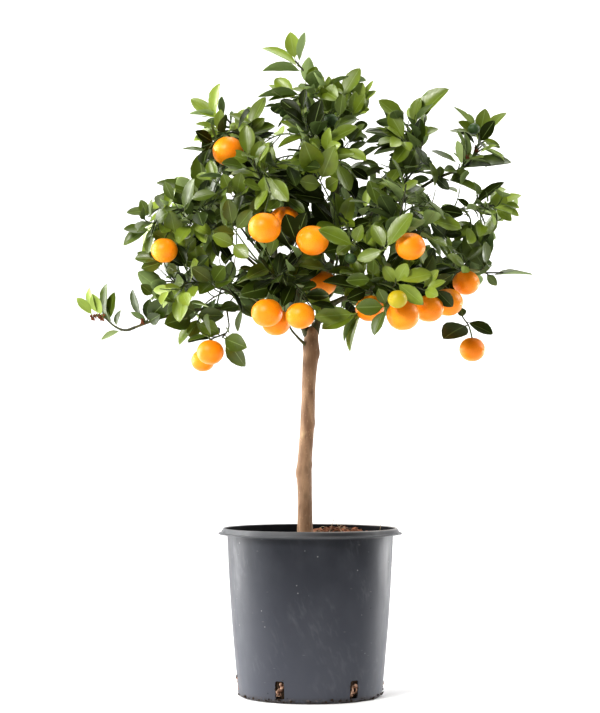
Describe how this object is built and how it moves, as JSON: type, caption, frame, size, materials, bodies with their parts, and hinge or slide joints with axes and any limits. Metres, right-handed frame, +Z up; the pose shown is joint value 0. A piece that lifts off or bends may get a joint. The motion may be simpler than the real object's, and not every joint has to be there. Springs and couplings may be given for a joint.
{
  "type": "calamondin orange tree in pot",
  "caption": "Small grafted citrus tree with a slim bare stem, an airy crown of glossy leaves and small round oranges, standing in a round nursery pot.",
  "frame": {"origin": "centre of the pot's flat underside, on the ground", "axes": "+Z up along the stem, -Y towards the viewer of the picture, +X to the viewer's right"},
  "size_m": [0.55, 0.4047, 0.789],
  "materials": {
    "pot_plastic": "dusty charcoal moulded plastic",
    "soil": "moist potting mix with bark chips",
    "bark": "smooth tan citrus bark with small knots",
    "green_bark": "young green-brown citrus bark",
    "leaf": "glossy dark green leaf",
    "orange_peel": "glossy dimpled orange peel"
  },
  "bodies": {
    "root": {"pot": "pot_plastic", "soil": "soil", "trunk": "bark", "bough_upper_left": "green_bark", "bough_crown_top": "green_bark", "bough_arm_tip": "green_bark", "bough_left_low": "green_bark", "bough_hanging_left": "green_bark", "bough_left": "green_bark", "bough_front_left": "green_bark", "bough_front_top": "green_bark", "bough_inner": "green_bark", "bough_front_right": "green_bark", "bough_centre_low": "green_bark", "bough_right_low": "green_bark", "bough_right_outer": "green_bark", "bough_right_inner": "green_bark", "bough_right": "green_bark", "bough_right_low_outer": "green_bark", "bough_hanging_right": "green_bark", "bough_back_left_low": "green_bark", "bough_back_low": "green_bark", "bough_back_right_low": "green_bark", "bough_back_left": "green_bark", "bough_back": "green_bark", "bough_back_right": "green_bark", "bough_back_top": "green_bark", "foliage_upper_left": "leaf", "foliage_crown_top": "leaf", "foliage_arm_tip": "leaf", "foliage_left_low": "leaf", "foliage_hanging_left": "leaf", "foliage_left": "leaf", "foliage_front_left": "leaf", "foliage_front_top": "leaf", "foliage_inner": "leaf", "foliage_front_right": "leaf", "foliage_centre_low": "leaf", "foliage_right_low": "leaf", "foliage_right_outer": "leaf", "foliage_right_inner": "leaf", "foliage_right": "leaf", "foliage_right_low_outer": "leaf", "foliage_hanging_right": "leaf", "foliage_back_left_low": "leaf", "foliage_back_low": "leaf", "foliage_back_right_low": "leaf", "foliage_back_left": "leaf", "foliage_back": "leaf", "foliage_back_right": "leaf", "foliage_back_top": "leaf"}
  },
  "joints": []
}
